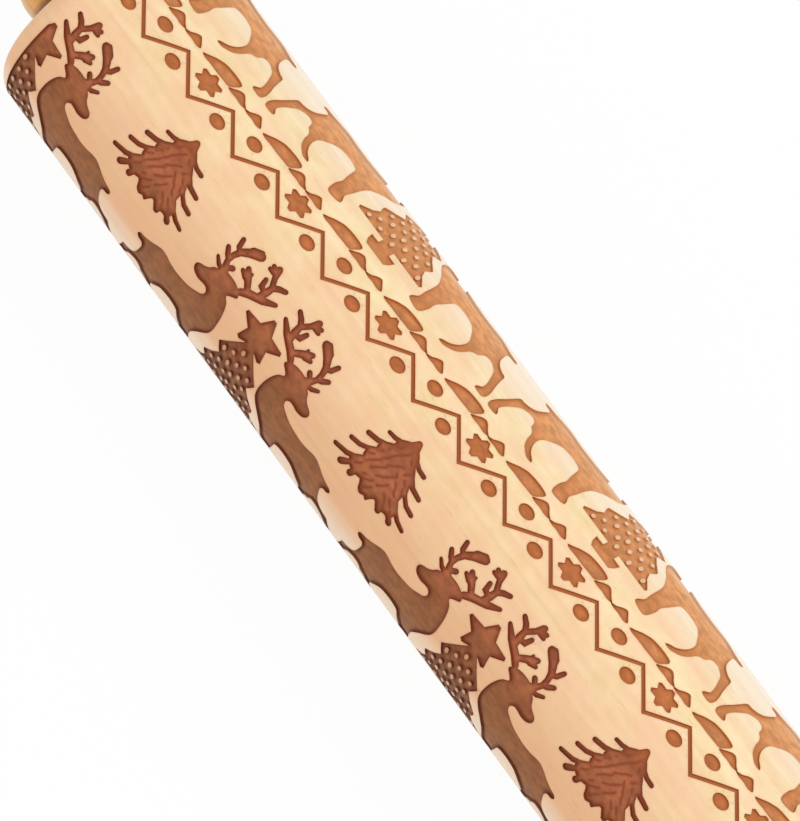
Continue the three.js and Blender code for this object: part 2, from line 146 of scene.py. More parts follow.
def engravedBeech():
    # European beech, turned, sanded, engraved by a laser and wiped with kitchen oil. It is pale and
    # close-grained with a faint satin and soft peach clouds, and its scorched floors are darkest along their
    # walls, partly from char and partly as painted shade of the recess. Its colours also hold painted shade
    # on the near side, painted light on the far side and a painted reflection at the flanks.
    look = dict(
        cream="#F8E0B3", honey="#F1D6A2", peach="#F6CBA5", rose="#ECAE7E", pale="#FBECD6", fleck="#B98258",
        endGrain="#D9A873",
        # colours of the floors and walls from the near side of the barrel to the far one: partly real burn,
        # partly painted shade on the near side and painted light on the far side
        floors=[(0.0, "#925A2F"), (0.12, "#90522A"), (0.24, "#AB5F38"), (0.38, "#954D24"), (0.52, "#B86A36"),
                (0.64, "#B66B3A"), (0.73, "#C88450"), (0.81, "#C47D47"), (0.88, "#CE8852"), (1.0, "#DC9960")],
        walls=[(0.0, "#703614"), (0.2, "#8A380C"), (0.36, "#86370D"), (0.45, "#B2622E"), (0.72, "#BC7038"),
               (1.0, "#CC8E58")],
        # length and width of each pattern's marks in millimetres
        patterns=dict(grain=(60, 1.4), cloud=(11, 6), haze=(7, 4.5), fleck=(4, 0.5), mottle=(2.2, 1.4),
                      pore=(1.5, 0.25)),
        ringGap=2.6, ringCentre=(0, 0.052, -0.034), coat=0.12, coatRoughness=0.35,
        # each of these follows a pattern or a place from one value to another, and goes from the third
        # number to the fourth meanwhile
        ranges=dict(
            blush=("cloud", 0.42, 0.62, 0, 0.7), streak=("grain", 0.55, 0.78, 0, 0.16),
            speck=("fleck", 0.64, 0.74, 0, 0.25),
            # the wood is rosier and the scorch darker on the near side, partly real tone and partly painted
            # shade of the side turned from the key light, and the scorch grows lighter towards the far side,
            # partly as painted light
            side=("across", -24 * mm, 22 * mm, 0, 1), rosy=("side", 0.66, 0.05, 0, 0.8),
            # a painted reflection whitens the wood at its two flanks, where it curves away, and the floors
            # there too, but on the far flank only above the middle
            nearFlank=("across", -22.6 * mm, -25 * mm, 0, 0.68),
            farFlank=("across", 13.5 * mm, 23 * mm, 0, 0.95),
            nearWiped=("across", -24.5 * mm, -25.05 * mm, 0, 0.3),
            farWiped=("across", 22.1 * mm, 24.6 * mm, 0, 0.65), above=("height", 27.5 * mm, 33.5 * mm, 0, 1),
            # growth rings are plain on the sawn ends and faint along the barrel
            ringShare=("sawn", 0, 1, 0.1, 0.75),
            # the scorch is mottled and dulls the wood, and it darkens towards its walls, partly char and
            # partly painted shade of the recess
            mottling=("mottle", 0.35, 0.65, 0.82, 1.2), rim=("wallNear", 0.12, 0.78, 0, 1),
            dull=("scorched", 0, 1, 0.5, 0.85)),
    )
    material, tree = startMaterial("engraved_beech")
    spot = addNode(tree, "ShaderNodeTexCoord", out="Object")
    level = {name: drawPattern(tree, spot, size, 3.0, 0.55) for name, size in look["patterns"].items()}
    level["across"], level["height"] = addNode(tree, "ShaderNodeSeparateXYZ", {"Vector": spot}, out=None)[1:]
    burn = addNode(tree, "ShaderNodeAttribute", attribute_name="burn", out="Color")
    level["scorched"], level["wallNear"], level["sawn"] = addNode(
        tree, "ShaderNodeSeparateColor", {"Color": burn}, out=None)
    centred = addNode(tree, "ShaderNodeMapping", {"Vector": spot, "Location": look["ringCentre"]})
    # at scale 1 this texture has a ring every 0.314
    level["rings"] = addNode(tree, "ShaderNodeTexWave", {
        "Vector": centred, "Scale": 0.314 / (look["ringGap"] * mm), "Distortion": 3.0, "Detail": 2.0,
        "Detail Scale": 0.2}, wave_type="RINGS", rings_direction="X", out=1)
    for name, (source, start, stop, first, last) in look["ranges"].items():
        level[name] = addNode(tree, "ShaderNodeMapRange", {
            "Value": level[source], "From Min": start, "From Max": stop, "To Min": first, "To Max": last},
            interpolation_type="SMOOTHSTEP" if name == "rim" else "LINEAR")
    for name, one, two, how in (
            ("mark", "streak", "speck", "MAXIMUM"), ("ring", "rings", "ringShare", "MULTIPLY"),
            ("flank", "nearFlank", "farFlank", "MAXIMUM"), ("farWiped", "farWiped", "above", "MULTIPLY"),
            ("floorReflection", "nearWiped", "farWiped", "MAXIMUM"), ("relief", "grain", "pore", "ADD")):
        level[name] = addNode(tree, "ShaderNodeMath", {0: level[one], 1: level[two]}, operation=how)

    wood = addNode(tree, "ShaderNodeValToRGB", {"Fac": level["haze"]},
                   stops=[(0.38, look["honey"]), (0.6, look["cream"])])
    # the flank share lays a painted reflection over the wood, and the rosy share is partly painted shade
    for share, tint in (("blush", "peach"), ("rosy", "rose"), ("flank", "pale"), ("ring", "endGrain"),
                        ("mark", "fleck")):
        wood = addNode(tree, "ShaderNodeMix", {0: level[share], 6: wood, 7: paint(look[tint])},
                       data_type="RGBA", out=2)
    # floors and walls darken towards the near side as partly painted shade and lighten towards the far side
    # as partly painted light
    floor, wall = (addNode(tree, "ShaderNodeValToRGB", {"Fac": level["side"]}, stops=look[part])
                   for part in ("floors", "walls"))
    scorch = addNode(tree, "ShaderNodeVectorMath", {0: floor, "Scale": level["mottling"]}, operation="SCALE")
    # rim darkens the floors towards their walls, partly char and partly painted shade, and the pale laid over
    # the floors at the flanks is a painted reflection
    for share, over in (("rim", wall), ("floorReflection", paint(look["pale"]))):
        scorch = addNode(tree, "ShaderNodeMix", {0: level[share], 6: scorch, 7: over},
                         data_type="RGBA", out=2)
    colour = addNode(tree, "ShaderNodeMix", {0: level["scorched"], 6: wood, 7: scorch},
                     data_type="RGBA", out=2)
    # the coat is a wipe of kitchen oil, seen where the wood curves away
    return endMaterial(material, level["relief"], 0.25, 0.05, {
        "Base Color": colour, "Roughness": level["dull"], "IOR": 1.45, "Coat Weight": look["coat"],
        "Coat Roughness": look["coatRoughness"]})


def varnishedBeech():
    # beech under two coats of amber oil varnish: golden, with the grain drawn darker and a clear gloss
    look = dict(light="#E2A33C", deep="#CE932B", grain=(60, 1.2), cloud=(18, 9), coat=0.6, coatRoughness=0.18,
                # each layer's colour, the two values it fades in between, and its largest share
                # foot is painted shade in the crease between the collar and the barrel
                streak=("#A86824", 0.52, 0.75, 0.55), foot=("#7A3C06", 130 * mm, 128.7 * mm, 0.9))
    material, tree = startMaterial("varnished_beech")
    spot = addNode(tree, "ShaderNodeTexCoord", out="Object")
    grain = drawPattern(tree, spot, look["grain"], 5.0, 0.65)
    cloud = drawPattern(tree, spot, look["cloud"], 2.0)
    colour = addNode(tree, "ShaderNodeValToRGB", {"Fac": cloud},
                     stops=[(0.3, look["deep"]), (0.7, look["light"])])
    # painted shade darkens the end of the collar, in the crease where it meets the barrel's rim
    along = addNode(tree, "ShaderNodeSeparateXYZ", {"Vector": spot}, out="X")
    reach = addNode(tree, "ShaderNodeMath", {0: along}, operation="ABSOLUTE")
    for source, layer in ((grain, "streak"), (reach, "foot")):
        tint, start, stop, most = look[layer]
        share = addNode(tree, "ShaderNodeMapRange", {
            "Value": source, "From Min": start, "From Max": stop, "To Max": most})
        colour = addNode(tree, "ShaderNodeMix", {0: share, 6: colour, 7: paint(tint)},
                         data_type="RGBA", out=2)
    rough = addNode(tree, "ShaderNodeMapRange", {"Value": cloud, "To Min": 0.34, "To Max": 0.5})
    return endMaterial(material, grain, 0.15, 0.04, {
        "Base Color": colour, "Roughness": rough, "Coat Weight": look["coat"],
        "Coat Roughness": look["coatRoughness"]})


def turnedMetal(name, light, dark, roughness, toolMark):
    # bar turned or ground round its axis, which leaves fine rings that stretch the highlights
    material, tree = startMaterial(name)
    spot = addNode(tree, "ShaderNodeTexCoord", out="Object")
    mark = drawPattern(tree, spot, (toolMark, 25), 3.0)
    tint = addNode(tree, "ShaderNodeValToRGB", {"Fac": mark}, stops=[(0.3, dark), (0.7, light)])
    rough = addNode(tree, "ShaderNodeMapRange", {
        "Value": mark, "To Min": roughness * 0.8, "To Max": roughness * 1.3})
    return endMaterial(material, mark, 0.1, 0.01, {"Base Color": tint, "Metallic": 1.0, "Roughness": rough})


def mouldedNylon():
    # natural nylon 66, injection moulded: milky cream with a fine matt skin
    material, tree = startMaterial("moulded_nylon")
    spot = addNode(tree, "ShaderNodeTexCoord", out="Object")
    skin = addNode(tree, "ShaderNodeTexNoise", {"Vector": spot, "Scale": 1 / (0.6 * mm), "Detail": 2.0})
    tint = addNode(tree, "ShaderNodeValToRGB", {"Fac": skin}, stops=[(0.3, "#DCD5C2"), (0.7, "#EAE4D4")])
    return endMaterial(material, skin, 0.15, 0.02, {
        "Base Color": tint, "Roughness": 0.45, "Subsurface Weight": 0.1,
        "Subsurface Radius": (0.002, 0.0015, 0.001), "IOR": 1.53})


barrelWood = engravedBeech()
handleWood = varnishedBeech()
axleSteel = turnedMetal("turned_axle_steel", "#C4C8CC", "#9FA4A9", 0.3, 0.35)
raceSteel = turnedMetal("ground_bearing_steel", "#D2D5D9", "#B3B8BE", 0.14, 0.12)
shieldSteel = turnedMetal("pressed_shield_steel", "#C9CBCB", "#A7AAAB", 0.26, 0.5)
insertBrass = turnedMetal("turned_brass", "#D9B65C", "#B08A38", 0.24, 0.3)
cageNylon = mouldedNylon()
print("finishes made")


# The engraving is drawn flat in millimetres: x along the barrel, y round it from the lower hooves.
# An antler or a needle is a line of (x, y, half width) points.

deer = dict(
    outline=[
        (11.7, 0.2), (13.1, -0.3), (15.2, -0.2), (15.8, 2.2), (15.6, 4.2), (16.1, 6.2), (16.5, 8.2),
        (16.9, 9.7), (18.1, 10.3), (20.1, 10.4), (22.1, 9.9), (23.3, 8.8), (24.3, 7.4), (25.1, 6.2),
        (25.4, 5.0), (25.3, 3.7), (24.8, 2.4), (23.8, 1.2), (22.5, 0.4), (22.1, -0.2), (23.5, -0.3),
        (24.9, 0.4), (25.9, 1.2), (26.8, 2.8), (27.2, 4.2), (27.8, 5.0), (28.6, 5.6), (29.0, 6.8),
        (29.7, 7.5), (30.9, 7.6), (32.1, 7.0), (33.0, 6.2), (33.8, 4.6), (34.5, 3.0), (34.8, 1.4),
        (34.1, 0.6), (33.9, 0.0), (34.6, -0.3), (36.5, -0.2), (36.9, 0.8), (36.6, 2.4), (35.9, 4.2),
        (35.3, 6.2), (34.7, 8.2), (33.6, 8.5), (32.3, 9.2), (31.3, 10.4), (30.8, 11.9), (30.5, 13.4),
        (30.4, 14.6), (30.9, 15.4), (31.9, 15.5), (32.6, 16.2), (32.2, 17.0), (30.6, 17.4), (29.1, 18.0),
        (27.6, 18.8), (26.1, 19.4), (24.6, 19.3), (23.1, 18.9), (21.1, 18.7), (19.1, 18.9), (17.1, 19.3),
        (15.1, 20.2), (13.9, 21.0), (13.6, 22.0), (14.3, 22.8), (15.5, 22.8), (16.6, 22.6), (18.1, 22.9),
        (18.9, 23.6), (19.1, 24.5), (18.6, 25.2), (17.3, 25.8), (16.4, 26.5), (15.9, 27.3), (15.1, 27.9),
        (14.0, 28.8), (12.5, 29.1), (11.0, 29.1), (9.9, 28.9), (8.5, 28.3), (8.0, 27.2), (9.1, 26.4),
        (9.9, 25.6), (8.9, 24.6), (8.2, 23.2), (7.7, 21.2), (7.5, 19.2), (7.5, 17.2), (7.9, 15.4),
        (8.9, 13.7), (10.1, 12.1), (11.0, 10.6), (11.7, 9.2), (12.1, 7.2), (12.3, 4.2), (12.5, 2.2),
        (11.8, 1.0),
    ],
    antlers=[
        [(8.6, 28.6, 0.77), (7.1, 29.9, 0.95), (4.1, 31.4, 0.83), (1.7, 33.0, 0.49)],
        [(7.6, 29.9, 0.72), (8.9, 31.2, 0.8), (10.0, 32.0, 1.0), (10.8, 33.0, 0.62)],
        [(10.0, 31.6, 0.85), (11.4, 31.9, 0.5)],
        [(9.6, 31.8, 0.7), (9.5, 32.9, 0.36)],
        [(5.4, 31.0, 0.7), (4.9, 32.8, 0.83), (4.7, 34.6, 0.77), (3.7, 35.5, 0.64), (2.4, 36.2, 0.54)],
        [(4.8, 34.4, 0.64), (6.0, 36.1, 0.64), (6.7, 37.8, 0.77)],
        [(6.4, 36.9, 0.64), (8.0, 37.4, 0.51)],
        [(6.3, 36.5, 0.51), (8.1, 36.5, 0.49)],
        [(5.0, 32.6, 0.6), (6.5, 33.0, 0.72), (6.9, 34.5, 0.55)],
        [(10.9, 36.5, 0.92), (13.0, 35.2, 0.95), (14.4, 33.7, 0.79), (14.9, 32.2, 0.64), (15.0, 30.7, 0.64),
         (14.3, 29.2, 0.77), (13.2, 28.3, 0.77)],
        [(11.4, 37.0, 0.62), (12.9, 35.8, 0.85)],
        [(14.5, 33.4, 0.58), (15.5, 34.2, 0.61), (16.0, 35.7, 0.54)],
        [(14.9, 30.7, 0.58), (15.9, 31.4, 0.64), (16.9, 32.4, 0.54)],
        [(14.3, 28.3, 0.64), (15.7, 28.6, 0.54), (16.9, 29.5, 0.41)],
        [(14.1, 29.4, 0.58), (13.0, 30.4, 0.64)],
    ],
)

fir = dict(
    base=23.5, shift=-0.4,
    outline=[
        (0, 16.7), (-0.6, 16.4), (-1.0, 15.6), (-1.6, 14.8), (-2.4, 14.1), (-3.3, 13.0), (-3.2, 12.1),
        (-4.2, 11.0), (-5.2, 9.6), (-4.9, 8.5), (-6.0, 7.0), (-5.8, 5.9), (-5.4, 5.2), (-6.6, 3.8),
        (-7.2, 2.9), (-6.4, 2.2), (-5.6, 1.6), (-4.6, 1.5), (-3.4, 1.7), (-2.6, 1.9), (-2.0, 1.0),
        (-1.6, 0.2), (-0.6, -0.3), (0.3, 0.2), (1.1, -0.2), (1.7, 0.8), (2.4, 1.7), (3.0, 1.4), (3.6, 0.7),
        (4.6, 0.5), (5.4, 1.4), (6.2, 1.5), (7.0, 1.4), (7.6, 3.2), (6.6, 4.6), (6.1, 5.8), (6.0, 6.9),
        (6.1, 8.3), (5.0, 10.0), (3.9, 11.6), (3.4, 12.5), (2.6, 13.8), (1.6, 14.8), (1.0, 15.7),
        (0.6, 16.4),
    ],
    needles=[
        [(-1.4, 14.6, 0.4), (-2.6, 13.5, 0.5), (-4.0, 13.0, 0.48), (-5.6, 12.8, 0.42)],
        [(-2.8, 12.0, 0.45), (-4.2, 10.8, 0.52), (-5.8, 10.0, 0.55), (-8.2, 9.4, 0.55)],
        [(-4.6, 8.7, 0.45), (-6.0, 7.4, 0.5), (-7.6, 6.5, 0.52), (-9.8, 6.0, 0.52)],
        [(-5.2, 5.4, 0.5), (-6.6, 4.0, 0.55), (-8.2, 3.1, 0.58), (-11.2, 2.4, 0.52)],
        [(-6.2, 2.6, 0.55), (-7.2, 1.6, 0.72), (-8.0, 0.8, 0.75)],
        [(-4.2, 2.2, 0.6), (-4.9, 0.8, 0.75)],
        [(1.4, 14.6, 0.4), (2.6, 13.5, 0.5), (4.0, 13.0, 0.5), (5.7, 12.9, 0.5)],
        [(3.2, 12.2, 0.45), (4.4, 10.9, 0.55), (5.9, 9.8, 0.6), (8.5, 9.4, 0.52)],
        [(5.0, 8.8, 0.45), (6.4, 7.4, 0.5), (7.8, 6.5, 0.55), (9.8, 6.2, 0.55)],
        [(5.8, 5.4, 0.5), (7.2, 3.9, 0.58), (8.8, 3.0, 0.55), (10.8, 2.5, 0.5)],
        [(6.6, 2.4, 0.6), (7.7, 1.2, 0.78)],
        [(4.2, 2.0, 0.6), (4.4, 0.9, 0.8)],
    ],
    strokeFoot=1.9, strokeTop=14.4, strokeRow=1.75, strokeGap=2.1, strokeDrift=0.4, strokeReach=(0.35, 0.8),
    strokeLean=(38, 60), leanTurn=(1.5, 3.5), strokeSeed=5,
)

bigTree = dict(
    halfOutline=[
        (0, 24.4), (6.0, 17.0), (5.3, 15.6), (4.6, 14.4), (6.0, 12.4), (8.1, 10.2), (8.0, 9.2), (7.5, 7.9),
        (8.3, 6.2), (10.4, 4.2), (10.1, 3.5), (1.75, 3.5), (1.75, 2.1), (3.8, 2.0), (3.5, 0.6), (2.8, -0.4),
    ],
    laceFoot=4.6, laceTop=20.4, laceRise=1.95, laceGap=4.0, laceEdge=1.2, laceAlong=0.5, laceRound=0.72,
    laceUneven=(0.8, 1.2), laceDrift=0.28, laceSeed=11,
    starHeight=26.05, starAlong=5.9, starRound=4.95, starInner=0.55, starBlunt=0.075,
)

zigzag = dict(pitch=15.2, shift=0.0, bottom=43.6, top=49.1, line=0.82,
              dotAlong=1.95, dotRound=1.37, lowerDot=45.3, upperDot=48.6, upperDotShift=0.4,
              starAlong=3.35, starRound=2.35, starInner=0.68, starBlunt=0.13)

garland = dict(
    pitch=20.4, shift=5.0, base=51.5,
    leaf=[(-0.2, 0), (0.8, 0.7), (1.9, 1.5), (3.0, 2.1), (4.2, 2.6), (6.4, 2.9), (8.4, 2.9), (9.7, 2.6),
          (9.8, 1.9), (9.4, 1.2), (9.0, 0.5), (8.4, 0.0), (6.8, -0.1), (5.0, -0.2), (2.6, -0.2), (0.8, -0.3)],
    bud=[(8.6, -0.1), (9.5, 0.7), (10.4, 1.5), (11.4, 1.9), (12.3, 1.5), (13.3, 0.7), (14.3, 0.1),
         (13.0, -0.3), (11.4, -0.2), (9.8, -0.3)],
    bead=[(14.0, 0), (15.2, 0.5), (16.2, 1.4), (17.2, 1.9), (18.2, 1.2), (19.3, 0.1), (18.4, -0.3),
          (16.6, -0.2), (15.2, -0.3)],
)

sheet = dict(
    radius=25.0, halfLength=125.0, endRound=5.0, endSteps=8, patternHalf=120.5, depth=0.5,
    rowPitch=74.9, pairShift=29.7, treeShift=0.8, rowSpacing=56.0, seam=-17.5, seamWeld=0.01, hoofTurn=-101.3,
    backFirBase=118.9, backFirShift=11.5, backStarHeight=127.5,
    seatRadius=11.3, seatBack=116.7, boreRadius=7.0, endStrip=0.6, floorMargin=0.2,
    # how finely the skin is cut up
    facets=144, columnGap=4.8, outlineStep=0.56, floorStep=1.35, floorRow=0.866, tightTurn=0.965,
    clearance=0.4, besideGap=0.85, scatterGap=1.6, drawnGap=1.1, dotSides=20, laceSides=8, sliver=1e-7,
    # how wide and how dark the scorch is, where edgeWidth is also how far the painted shade reaches from the
    # walls
    edgeWidth=0.95, rimWidth=0.36, haloWidth=0.8, haloScorch=0.24, laceScorch=0.48, strokeScorch=0.72,
    strokeWidth=0.7,
)
roundLength = 2 * math.pi * sheet["radius"]


def smoothLoop(points, step):
    # rounds a drawn outline: each stretch leaves its corners along the line between their neighbours
    ring = np.array(points)
    after, before = np.roll(ring, -1, 0), np.roll(ring, 1, 0)
    length = np.linalg.norm(after - ring, axis=1)
    tangent = (after - before) / (length + np.roll(length, 1))[:, None]
    made = []
    for i in range(len(ring)):
        j = (i + 1) % len(ring)
        for t in np.arange(0, 1, 1 / max(1, math.ceil(length[i] / step))):
            made.append((2 * t**3 - 3 * t**2 + 1) * ring[i] + (t**3 - 2 * t**2 + t) * length[i] * tangent[i]
                        + (3 * t**2 - 2 * t**3) * ring[j] + (t**3 - t**2) * length[i] * tangent[j])
    return np.array(made)


def closedEdges(loops):
    # the loops' points in one list, and the edges that close each loop
    points, edges = [], []
    for loop in loops:
        start = len(points)
        points += [tuple(p) for p in loop]
        edges += [(start + i, start + (i + 1) % len(loop)) for i in range(len(loop))]
    return points, edges


def cornerLoop(points, step):
    made = []
    for a, b in zip(np.array(points), np.roll(np.array(points), -1, 0)):
        for t in np.arange(0, 1, 1 / max(1, math.ceil(np.linalg.norm(b - a) / step))):
            made.append(a + (b - a) * t)
    return np.array(made)


def tineLoop(line, step):
    # the outline of a needle or an antler that follows the line, with round ends
    line, slant = np.array(line), 0.7
    spine, width = line[:, :2], line[:, 2:]
    way = np.diff(spine, axis=0)
    way /= np.linalg.norm(way, axis=1)[:, None]
    way = np.concatenate([way[:1], way[:-1] + way[1:], way[-1:]])
    way /= np.linalg.norm(way, axis=1)[:, None]
    left = np.stack([-way[:, 1], way[:, 0]], 1) * width
    tip, tail = way[-1] * width[-1], -way[0] * width[0]
    first, last = spine[0], spine[-1]
    return cornerLoop([
        first + tail * slant - left[0] * slant, *(spine - left), last + tip * slant - left[-1] * slant,
        last + tip, last + tip * slant + left[-1] * slant, *(spine + left)[::-1],
        first + tail * slant + left[0] * slant, first + tail], step)


def ellipse(x, y, along, up, count):
    turns = 2 * math.pi * np.arange(count) / count
    return np.stack([x + along * np.cos(turns), y + up * np.sin(turns)], 1)


def star(x, y, along, up, points, inner, blunt):
    # the tips are blunt, because the beam rounds what is finer than itself
    corners = []
    for k in range(points):
        tip, valley = math.pi / 2 + 2 * math.pi * k / points, math.pi / points
        corners += [(1.0, tip - blunt), (1.0, tip + blunt), (inner, tip + valley)]
    return cornerLoop([(x + along * reach * math.cos(turn), y + up * reach * math.sin(turn))
                       for reach, turn in corners], sheet["outlineStep"])


def within(points, loop):
    # which points lie inside the loop, by how often it winds round them
    if len(points) == 0:
        return np.zeros(0, bool)
    x, y = points[:, 0][:, None], points[:, 1][:, None]
    x1, y1 = loop[:, 0][None], loop[:, 1][None]
    x2, y2 = np.roll(loop[:, 0], -1)[None], np.roll(loop[:, 1], -1)[None]
    rising, falling = (y1 <= y) & (y2 > y), (y1 > y) & (y2 <= y)
    left = (x2 - x1) * (y - y1) - (x - x1) * (y2 - y1)
    return ((rising & (left > 0)).sum(1) - (falling & (left < 0)).sum(1)) != 0


def nearest(loops):
    spots = np.concatenate(loops)
    finder = KDTree(len(spots))
    for i, (x, y) in enumerate(spots):
        finder.insert((x, y, 0), i)
    finder.balance()
    return lambda x, y: finder.find((x, y, 0))[2]


def floorPoints(cuts, islands, strokes):
    # points that carry the shading: a line on each side of every wall, where the scorch fades, and then
    # the strokes on the floor or, where it has none, an even scatter
    gap, rim, aside = sheet["floorStep"], sheet["rimWidth"], sheet["strokeWidth"]
    walls = [*cuts, *islands]
    distance = nearest(walls)
    beside = []
    for loop in walls:
        way = np.roll(loop, -1, 0) - np.roll(loop, 1, 0)
        length = np.linalg.norm(way, axis=1)
        outward = np.stack([-way[:, 1], way[:, 0]], 1) / (length[:, None] + 1e-9)
        # every second point will do, but all of them where the wall turns tightly
        steps = np.linalg.norm(np.roll(loop, -1, 0) - loop, axis=1)
        tight = length < sheet["tightTurn"] * (steps + np.roll(steps, 1))
        even = np.arange(len(loop)) % 2 == 0
        beside += [(loop + outward * rim)[even | tight], (loop - outward * rim)[even | tight]]
    if strokes:
        floor, margin = [], sheet["drawnGap"]
        for line in strokes:
            way = (line[-1] - line[0]) / np.linalg.norm(line[-1] - line[0])
            floor += [line + np.array((-way[1], way[0])) * offset for offset in (-aside, 0, aside)]
        floor = np.concatenate(floor)
    else:
        margin = sheet["scatterGap"]
        spots = np.concatenate(cuts)
        low, high = spots.min(0), spots.max(0)
        rows = np.arange(low[1], high[1], gap * sheet["floorRow"])
        grid = np.array([(x + (gap / 2 if k % 2 else 0), y) for k, y in enumerate(rows)
                         for x in np.arange(low[0], high[0], gap)])
        floor = grid[np.any([within(grid, loop) for loop in cuts], axis=0)]
    kept = [p for p in np.concatenate(beside) if distance(*p) > sheet["besideGap"] * rim]
    kept += [p for p in floor if distance(*p) > margin * rim]
    return np.array(kept).reshape(-1, 2)


def repeatTree():
    # copies of a motif at even steps along a straight line
    tree, given = startTree("repeat_along_barrel", [
        ("Float", "Pitch"), ("Float", "First Place"), ("Float", "Row Height"), ("Int", "Count"),
        ("Material", "Finish")])
    start = addNode(tree, "ShaderNodeCombineXYZ", {"X": given["First Place"], "Y": given["Row Height"]})
    stride = addNode(tree, "ShaderNodeCombineXYZ", {"X": given["Pitch"]})
    places = addNode(tree, "GeometryNodeMeshLine", {
        "Count": given["Count"], "Start Location": start, "Offset": stride})
    copies = addNode(tree, "GeometryNodeInstanceOnPoints", {"Points": places, "Instance": given["Geometry"]})
    return endTree(tree, copies, given["Finish"])


repeatAlongBarrel = repeatTree()
cutLoops, islandLoops, strokeLines, floorSpots = [], [], [], []


def stamp(name, cuts, pitch, shift, height, islands=(), strokes=()):
    # repeats one motif along the barrel and adds what it draws to the engraving
    loops = [*cuts, *islands, *strokes]
    kinds = [cutLoops] * len(cuts) + [islandLoops] * len(islands) + [strokeLines] * len(strokes)
    points, edges = closedEdges(loops)
    motif = bpy.data.meshes.new(name)
    points += list(floorPoints(cuts, islands, strokes))
    motif.from_pydata([(x, y, 0.0) for x, y in points], edges, [])
    half, reach = sheet["patternHalf"], max(np.abs(loop[:, 0]).max() for loop in loops)
    first = math.ceil((-half - reach - shift) / pitch)
    count = math.floor((half + reach - shift) / pitch) - first + 1
    row = runTree(motif, repeatAlongBarrel, {
        "Pitch": pitch, "First Place": shift + first * pitch, "Row Height": height, "Count": count,
        "Finish": barrelWood})
    flat = np.zeros(3 * len(row.vertices), np.float32)
    row.vertices.foreach_get("co", flat)
    flat = flat.reshape(count, -1, 3)[:, :, :2].astype(float)
    for copy in flat:
        start = 0
        for loop, kind in zip(loops, kinds):
            part = copy[start:start + len(loop)].copy()
            start += len(loop)
            if part[:, 0].min() < half and part[:, 0].max() > -half:
                part[:, 0] = part[:, 0].clip(-half, half)
                kind.append(part)
        inside = copy[start:]
        floorSpots.append(inside[np.abs(inside[:, 0]) < half - sheet["floorMargin"]])


def deerLoops():
    # one deer and its mirror image, each looking back over its shoulder
    step = sheet["outlineStep"]
    body = smoothLoop(deer["outline"], step)
    loops = [body] + [tineLoop(line, step) for line in deer["antlers"]]
    return loops + [(loop * (-1, 1))[::-1] for loop in loops]


def firLoops():
    # the outline with its needles, and the uneven strokes scorched into its floor, which lean like boughs
    step = sheet["outlineStep"]
    body = smoothLoop(fir["outline"], step)
    chance = random.Random(fir["strokeSeed"])
    strokes = []
    drift = fir["strokeDrift"]
    for k, y in enumerate(np.arange(fir["strokeFoot"], fir["strokeTop"], fir["strokeRow"])):
        for x in (k % 2 / 2 + np.arange(-4, 4.5)) * fir["strokeGap"]:
            lean = math.radians(chance.uniform(*fir["strokeLean"]))
            lean *= 1 if x < chance.uniform(*fir["leanTurn"]) else -1
            way = np.array((math.cos(lean), math.sin(lean)))
            reach = chance.uniform(*fir["strokeReach"])
            middle = np.array((x + chance.uniform(-drift, drift), y + chance.uniform(-drift, drift)))
            line = np.array([middle + reach * t * way for t in (-1, 0, 1)])
            if within(line, body).all():
                strokes.append(line)
    return [body] + [tineLoop(line, step) for line in fir["needles"]], strokes


def treeLoops():
    t = bigTree
    right = t["halfOutline"]
    whole = right + [(-x, y) for x, y in reversed(right[1:])]
    body = cornerLoop(whole[::-1], sheet["outlineStep"])
    chance = random.Random(t["laceSeed"])
    lace = []
    for k, y in enumerate(np.arange(t["laceTop"], t["laceFoot"], -t["laceRise"])):
        offset = t["laceGap"] / 2 if k % 2 else 0
        for x in offset + t["laceGap"] * np.arange(-3, 4):
            spot = (x + chance.uniform(-1, 1) * t["laceDrift"], y + chance.uniform(-1, 1) * t["laceDrift"])
            probe = np.array([(spot[0] - t["laceEdge"], spot[1]), (spot[0] + t["laceEdge"], spot[1])])
            if within(probe, body).all():
                tall = t["laceRound"] * chance.uniform(*t["laceUneven"])
                lace.append(ellipse(*spot, t["laceAlong"], tall, sheet["laceSides"]))
    crown = star(0, t["starHeight"], t["starAlong"], t["starRound"], 5, t["starInner"], t["starBlunt"])
    return [body, crown], lace


def zigzagLoop():
    # one peak of the line with the half slopes beside it, whose pointed ends reach into the next copies
    half = zigzag["pitch"] / 2
    rise = zigzag["top"] - zigzag["bottom"]
    upright = zigzag["line"] / 2 * math.hypot(half, rise) / half
    centre = [(0, 0), (half, rise), (2 * half, 0)]
    lower = [(x, zigzag["bottom"] + y - upright) for x, y in centre]
    upper = [(x, zigzag["bottom"] + y + upright) for x, y in reversed(centre)]
    return lower + [(2 * half + upright / 2, zigzag["bottom"])] + upper + [(-upright / 2, zigzag["bottom"])]


